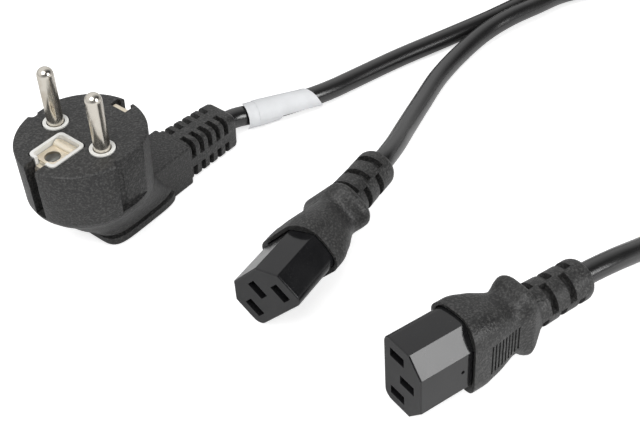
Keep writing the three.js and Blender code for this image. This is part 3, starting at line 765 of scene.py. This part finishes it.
def insertBody(s, extra):
    top, web, half = s["face"] + s["insertUp"] + extra, s["face"] - s["insertDepth"], s["pinSpacing"] / 2
    collars = [post(0, side * half, web, top, s["collar"] + extra) for side in (-1, 1)]
    opening = shiftOutline(roundedOutline(6.2 + extra, 5.1 + extra, 1.6), s["wellX"])
    strip = shiftOutline(roundedOutline(5 + extra, half + 2 + extra, 2), -2.6)
    bridge = prism("z", strip, web - extra, web + 2.2 + extra)
    return join(prism("z", opening, web, top), bridge, *collars)


def earthWell(s, extra):
    low, high = s["face"] - s["wellDepth"], s["face"] + 2
    well = prism("z", shiftOutline(roundedOutline(5.2 + extra, 4.1 + extra, 0.9), s["wellX"]), low, high)
    return join(well, box(-20, -12, -2.1 - extra, 2.1 + extra, low, high))


def pinBores(s, low, high):
    radius = s["pinDiameter"] / 2 + s["fit"]
    return [post(0, side * s["pinSpacing"] / 2, low, high, radius) for side in (-1, 1)]


def clipSlot(s, side):
    half, low, high = s["clipWidth"] / 2 + 0.2, s["face"] - s["depth"], s["face"] + 2
    if side < 0:
        return box(-s["radius"] - 1, s["slotDepth"] - s["radius"], -half, half, low, high)
    return join(box(17.4, 21, -half, half, low, high), box(15.2, 18.4, -3.1, 3.1, low, high))


def guideCut(s, side):
    bottom, high = s["face"] - s["depth"] + 0.6, s["face"] + 2
    groove = post(s["guideX"], side * (s["land"] + 0.7), bottom, high, 1.5)
    y = sorted((side * s["land"], side * (s["land"] + 4)))
    return join(groove, box(s["guideX"], 8, y[0], y[1], bottom, high))


def makePlugBody(s):
    body = join(drum(s), arm(s))
    cuts = [tool for side in (-1, 1) for tool in (guideCut(s, side), clipSlot(s, side))]
    cuts += pinBores(s, s["face"] - s["pinRoot"] - 0.3, s["face"])
    cuts += [insertBody(s, s["fit"]), earthWell(s, 0.1)]
    cuts.append(post(s["earthX"], 0, s["face"] - 22, s["face"], s["earthDiameter"] / 2 + 0.3))
    setDown(cut(body, *cuts), "plugBody", "moulding", ("plug_body",))


def makePlugInsert(s):
    cuts = [earthWell(s, 0.0), *pinBores(s, 0, s["face"] + 2)]
    cuts.append(post(s["earthX"], 0, s["face"] - 16, s["face"], s["earthDiameter"] / 2 + 1.3))
    insert = cut(insertBody(s, 0.0), *cuts)
    setDown(insert, "plugInsert", "white_insert", ("plug_pin_insert",))


def makePin(s, name, y, standsFor):
    radius, rounds = s["pinDiameter"] / 2, 12
    profile = [(radius, -s["pinRoot"]), (radius, s["pinLength"] - radius)]
    for step in range(1, rounds):
        angle = step / rounds * math.pi / 2
        profile.append((radius * math.cos(angle), s["pinLength"] - radius + radius * math.sin(angle)))
    profile.append((0.02, s["pinLength"]))
    rings = [[(u, v + y, z + s["face"]) for u, v in circleOutline(r, 72)] for r, z in profile]
    setDown(skin(name, rings), name, "nickel", (standsFor,))


def makeEarthPlate(s):
    face, half = s["face"], s["clipWidth"] / 2
    top, bend = face - s["plateDrop"], face - 2.2
    under = top - 0.8
    back = s["slotDepth"] - s["radius"] + 0.9
    spring = []
    for step in range(17):
        angle = step / 16 * math.pi
        spring.append((-5.2 - 1.4 * math.cos(angle), top + 1.1 * math.sin(angle)))
    plate = prism("y", [(-13.1, under), (-3.3, under), (-3.3, top), *spring[::-1], (-13.1, top)], -3.7, 3.7)
    plate = cut(plate, post(s["earthX"], 0, under - 1, top + 1, s["earthDiameter"] / 2 - 0.3))
    lip = prism("y", [
        (-12.6, under), (-12.6, top), (-13.6, bend), (back, bend), (back - 0.5, bend - 0.6),
        (back - 0.5, bend - 2.2), (back, bend - 2.6), (back, bend - 1), (-13.8, bend - 1),
    ], -half, half)
    setDown(join(plate, lip), "plugEarthPlate", "plate", ("plug_earth_plate",), smoothAngle=28)


def makeEarthClip(s):
    top, face = s["face"] - s["clipDrop"], s["face"]
    clip = prism("y", [
        (15.4, top - 0.8), (15.4, top), (16.9, top), (17.3, top - 0.4), (17.3, top - 2.6), (18, top - 4),
        (18, face - 15), (17.3, face - 16.5), (17.1, face - 15.3), (17.1, top - 4), (16.6, top - 2.6),
        (16.6, top - 0.8),
    ], -2.6, 2.6)
    setDown(clip, "plugEarthClip", "plate", ("plug_earth_clip",), smoothAngle=28)


makePlugBody(plugSetup)
makePlugInsert(plugSetup)
for pinName, side in (("Left", 0.5), ("Right", -0.5)):
    makePin(plugSetup, "plugPin" + pinName, side * plugSetup["pinSpacing"], "plug_pin_" + pinName.lower())
makeEarthPlate(plugSetup)
makeEarthClip(plugSetup)
print("plug made")

# Appliance connectors
carrierSetup = {
    "width": 23.0, "height": 15.0, "bevelAcross": 5.4, "bevelUp": 4.8, "round": 2.6, "length": 21.5,
    "slotSpacing": 14.0, "slotOffset": 2.0, "slotWidth": 3.0, "slotHeight": 5.6, "slotReach": 18.5,
    "leaf": 0.35, "hole": 1.1, "holeBack": 2.4,  # contact strip and the small side hole
}
shellSetup = {
    "wall": 1.1, "front": 16.2, "arch": 2.0, "rim": 38.2,
    "grooves": 9, "firstGroove": 22.4, "groovePitch": 1.33, "grooveWidth": 0.6, "grooveDepth": 0.5,
    "core": 4.3, "spine": 0.3, "pitch": 6.9, "slot": 2.45, "slotsBack": 20.55,  # bend relief
}


def carrierOutline(s, extra=0.0):
    half, top, corner = s["width"] / 2 + extra, s["height"] / 2 + extra, s["round"]
    shoulder, brow = s["height"] / 2 - s["bevelUp"], s["width"] / 2 - s["bevelAcross"]
    outline = [(half, shoulder), (brow, top), (-brow, top), (-half, shoulder)]
    for side in (-1, 1):
        for step in range(9):
            angle = math.pi * (1 if side < 0 else 1.5) + step / 8 * math.pi / 2
            outline.append(cornerPoint(corner, side * (half - corner), corner - top, angle))
    return outline


def makeCarrier(s, name, place):
    outline = carrierOutline(s)
    rings = (
        (0, carrierOutline(s, -0.35)), (0.12, carrierOutline(s, -0.12)),
        (0.4, outline), (0.5, outline), (s["length"], outline),
    )
    body = skin("carrier", [[(x, y, z) for y, z in ring] for x, ring in rings])
    cuts = []
    halfWide, halfTall = s["slotWidth"] / 2, s["slotHeight"] / 2
    side, up = s["slotSpacing"] / 2, s["slotOffset"]
    for y, z in ((side, -up), (-side, -up), (0, up)):
        cuts.append(box(-1, s["slotReach"], y - halfWide, y + halfWide, z - halfTall, z + halfTall))
    top = s["height"] / 2
    cuts.append(post(shellSetup["front"] - s["holeBack"], 0.5, top - 1.4, top + 1, s["hole"] / 2))
    body = cut(body, *cuts)
    front = body.data.attributes.new("roughFace", "FLOAT", "FACE")
    for face in body.data.polygons:
        front.data[face.index].value = 1.0 if face.center.x < 0.05 and face.normal.x < -0.9 else 0.0
    setDown(body, name + "Carrier", "carrier", (place + "_carrier",),
            connectorMatrix(connectorPlaces[place]), smoothAngle=15)


def shellSections(s):
    wide, tall = carrierSetup["width"] / 2 + s["wall"], carrierSetup["height"] / 2 + s["wall"] + 0.3
    rim = s["rim"]
    return [
        (s["front"], wide - 0.3, tall - 0.3, 6.8, 3.4), (s["front"] + 0.5, wide, tall, 7, 3.6),
        (20, wide, tall, 7, 3.6), (22, wide - 0.2, tall - 0.1, 6.8, 3.8),
        (24, wide - 0.6, tall - 0.4, 6.6, 4.2), (27, wide - 1.4, tall - 0.8, 6.2, 4.6),
        (30, wide - 2.5, tall - 1.4, 5.8, 5), (32.2, wide - 3.4, tall - 1.8, 5.4, 5),
        (rim - 4.6, wide - 3.7, tall - 1.9, 5, 5), (rim - 3, wide - 3, tall - 1.7, 5, 5),
        (rim - 1.4, wide - 1.6, tall - 1.3, 5.2, 5.2), (rim, wide - 1.1, tall - 1.1, 5.2, 5.2),
        (rim + 1.2, wide - 1.5, tall - 1.4, 5.2, 5.2), (rim + 2.4, wide - 3.2, tall - 1.8, 5.8, 5.8),
        (rim + 3.4, 7, 6.9, 6.8, 6.8),
    ]


def mouthCut(s):
    front, arch = s["front"], s["arch"]
    outline = [(0, -14), (front, -14)]
    outline += [(front + arch * (1 - (z / 10) ** 2), z) for z in [step - 10 for step in range(21)]]
    return prism("y", [*outline, (front, 14), (0, 14)], -20, 20)


def gripCuts(s, sections):
    cuts = []
    for index in range(s["grooves"]):
        x = s["firstGroove"] + index * s["groovePitch"]
        before, after = next((a, b) for a, b in zip(sections, sections[1:]) if b[0] > x)
        share = (x - before[0]) / (after[0] - before[0])
        floor = before[2] + (after[2] - before[2]) * share - s["grooveDepth"]
        reach = 5 - 0.12 * index
        for low, high in ((floor, floor + 3), (-floor - 3, -floor)):
            cuts.append(box(x, x + s["grooveWidth"], -reach, reach, low, high))
    return cuts


def reliefSlots(s):
    first, step = connectorEnd - s["slotsBack"], s["pitch"]
    three = cornerCuts((2, 4), first, s["slot"], s["spine"], s["core"])
    two = cornerCuts((1, 3), first + step / 2, s["slot"], s["spine"], s["core"])
    return [inRow(three, 3, (step, 0, 0)), inRow(two, 2, (step, 0, 0))]


def makeConnectorBody(s, name, place):
    sections, fit = shellSections(s), plugSetup["fit"]
    rings = denser(sections)
    shell = skin("shell", [[(x, y, z) for y, z in roundedOutline(wide, tall, high, low)]
                           for x, wide, tall, high, low in rings])
    relief = bodyAlongX("relief", denser([
        (s["rim"] + 1, 6.8, 6.8, 6.79), (47.5, 6.5, 6.5, 6.49), (54, 6.35, 6.35, 6.34),
        (connectorEnd - 2.2, 6.35, 6.35, 6.34), (connectorEnd - 0.8, 5.9, 5.9, 5.89),
        (connectorEnd, 5, 5, 4.99),
    ], 3), steps=16)
    pocket = prism("x", carrierOutline(carrierSetup, fit), 0, carrierSetup["length"] + fit)
    body = cut(join(shell, relief), mouthCut(s), pocket, *reliefSlots(s), *gripCuts(s, sections))
    matrix = connectorMatrix(connectorPlaces[place])
    setDown(body, name + "Body", "moulding", (place + "_body",), matrix)


def makeContacts(s, name, place):
    outer, leaf, end = s["slotWidth"] / 2 - 0.25, s["leaf"], s["slotReach"] - 1.1
    inner = outer - leaf
    outline = [
        (5, outer), (5, inner), (9, inner - 0.3), (end - 1, inner), (end - 1, -inner),
        (9, 0.3 - inner), (5, -inner), (5, -outer), (end, -outer), (end, outer),
    ]
    half, side, up = (s["slotHeight"] - 0.8) / 2, s["slotSpacing"] / 2, s["slotOffset"]
    for part, y, z in (("Live", side, -up), ("Neutral", -side, -up), ("Earth", 0.0, up)):
        strip = prism("z", shiftOutline(outline, 0, y), z - half, z + half)
        setDown(strip, name + "Contact" + part, "contact", (place + "_contact_" + part.lower(),),
                connectorMatrix(connectorPlaces[place]), smoothAngle=26)


for connectorName in connectorPlaces:
    pieceName = connectorName.replace("_", "")
    makeContacts(carrierSetup, pieceName, connectorName)
    makeConnectorBody(shellSetup, pieceName, connectorName)
    makeCarrier(carrierSetup, pieceName, connectorName)
print("connectors made")


# Junction
def makeJunction(s):
    lift, start = s["height"] / 2, s["x"]
    end, arms = start + s["length"], []
    body = bodyAlongX("junction", denser([
        (start + 12, 11.6, 5.4, 3.4, lift), (start + 13.2, 12.6, 6.2, 3.8, lift),
        (start + s["length"] / 2, 12.4, lift, 4, lift), (end - 15, 9, 6.3, 4, lift),
        (end - 12, 6.2, 6, 5, lift),
    ]))
    relief = bodyAlongX("junctionRelief", [
        (end - 14, 5.9, 5.9, 5.89, lift), (end - 1, 5.1, 5.1, 5.09, lift), (end, 4.4, 4.4, 4.39, lift),
    ], steps=16)
    for aside in (-s["spacing"] / 2, s["spacing"] / 2):
        arms.append(bodyAlongX("junctionArm", [
            (start, 4.4, 4.4, 4.39, lift, aside), (start + 1, 5.1, 5.1, 5.09, lift, aside),
            (start + 16, 5.8, 5.8, 5.79, lift, aside),
        ], steps=16))
    x, reach, core = end - 10, 3.4, 3.9
    low = box(x, x + s["slot"], -reach, reach, -1, lift - core)
    slot = join(box(x, x + s["slot"], -reach, reach, lift + core, 14), low)
    whole = cut(join(body, relief, *arms), inRow(slot, 3, (s["pitch"], 0, 0)))
    place = Matrix.Translation((0, s["y"], 0))
    setDown(whole, "junctionBody", "moulding", ("junction_body",), place)


makeJunction(junctionSetup)
print("junction made")


# The tie is the CAD node itself, with a finish
def finishNode(name, finish):
    node = nodes[name]
    node.data.materials.clear()
    node.data.materials.append(finishes[finish])
    node.data.shade_smooth()
    node.data.set_sharp_from_angle(angle=math.radians(32))


finishNode("coil_tie", "tie")


# Studio with a pale floor and soft light
studio = {
    "floorHalf": 4.0, "floorLevel": -0.0002, "floorTone": 0.86, "floorLift": 0.62,
    "worldLight": 0.4, "horizon": 0.6, "nearSide": 0.04, "farSide": 0.85,
    "lamps": {
        "rightSoftbox": {"towards": (0.1, -0.87, 0.48), "distance": 0.95, "size": (0.4, 0.4), "power": 3.6},
        "topSoftbox": {"towards": (-0.5, -0.12, 0.86), "distance": 1.0, "size": (0.6, 0.6), "power": 6.0},
    },
    "lookAt": (0.07, -0.05, 0.0),
}


def seenByCamera(tree):
    rays = addNode(tree, "ShaderNodeLightPath")
    return calculate(tree, "MAXIMUM", rays.outputs["Is Camera Ray"], rays.outputs["Is Transmission Ray"])


def makeFloor():
    mesh = bpy.data.meshes.new("studioFloor")
    half, level = studio["floorHalf"], studio["floorLevel"]
    corners = [(-half, -half, level), (half, -half, level), (half, half, level), (-half, half, level)]
    mesh.from_pydata(corners, [], [(0, 1, 2, 3)])
    floor = bpy.data.objects.new("studioFloor", mesh)
    bpy.context.scene.collection.objects.link(floor)
    material = bpy.data.materials.new("paleFloor")
    material.use_nodes = True
    tree = material.node_tree
    tree.nodes.clear()
    matte = addNode(tree, "ShaderNodeBsdfDiffuse", {"Color": (*[studio["floorTone"]] * 3, 1)})
    lift = calculate(tree, "MULTIPLY", seenByCamera(tree), studio["floorLift"])  # only the picture is lifted
    glow = addNode(tree, "ShaderNodeEmission", {"Color": (1, 1, 1, 1), "Strength": lift})
    both = addNode(tree, "ShaderNodeAddShader", {0: matte.outputs[0], 1: glow.outputs[0]})
    output = tree.nodes.new("ShaderNodeOutputMaterial")
    tree.links.new(both.outputs[0], output.inputs["Surface"])
    mesh.materials.append(material)


def makeWorld():
    world = bpy.data.worlds.new("studioWorld")
    bpy.context.scene.world = world
    world.use_nodes = True
    tree = world.node_tree
    tree.nodes.clear()
    mirrored = addNode(tree, "ShaderNodeLightPath").outputs["Is Glossy Ray"]
    way = addNode(tree, "ShaderNodeTexCoord")
    split = addNode(tree, "ShaderNodeSeparateXYZ", {0: way.outputs["Generated"]})
    sides = remap(tree, split.outputs["Y"], -0.35, 0.3, studio["nearSide"], studio["farSide"])
    overhead = remap(tree, split.outputs["Z"], 0.05, 0.35, studio["horizon"], sides)
    glossy = calculate(tree, "MULTIPLY", mirrored, overhead)
    plain = calculate(tree, "SUBTRACT", 1.0, mirrored)
    soft = calculate(tree, "MULTIPLY_ADD", plain, studio["worldLight"], glossy)
    strength = calculate(tree, "MAXIMUM", soft, seenByCamera(tree))
    light = addNode(tree, "ShaderNodeBackground", {"Color": (1, 1, 1, 1), "Strength": strength})
    output = tree.nodes.new("ShaderNodeOutputWorld")
    tree.links.new(light.outputs[0], output.inputs["Surface"])


def makeLamps():
    target = Vector(studio["lookAt"])
    for name, lamp in studio["lamps"].items():
        data = bpy.data.lights.new(name, "AREA")
        data.shape = "RECTANGLE"
        data.size, data.size_y = lamp["size"]
        data.energy = lamp["power"]
        light = bpy.data.objects.new(name, data)
        way = Vector(lamp["towards"]).normalized()
        light.location = target + way * lamp["distance"]
        light.rotation_euler = (-way).to_track_quat("-Z", "Y").to_euler()
        bpy.context.scene.collection.objects.link(light)


makeFloor()
makeWorld()
makeLamps()
scene = bpy.context.scene
scene.view_settings.view_transform = "Standard"
print("studio lit")
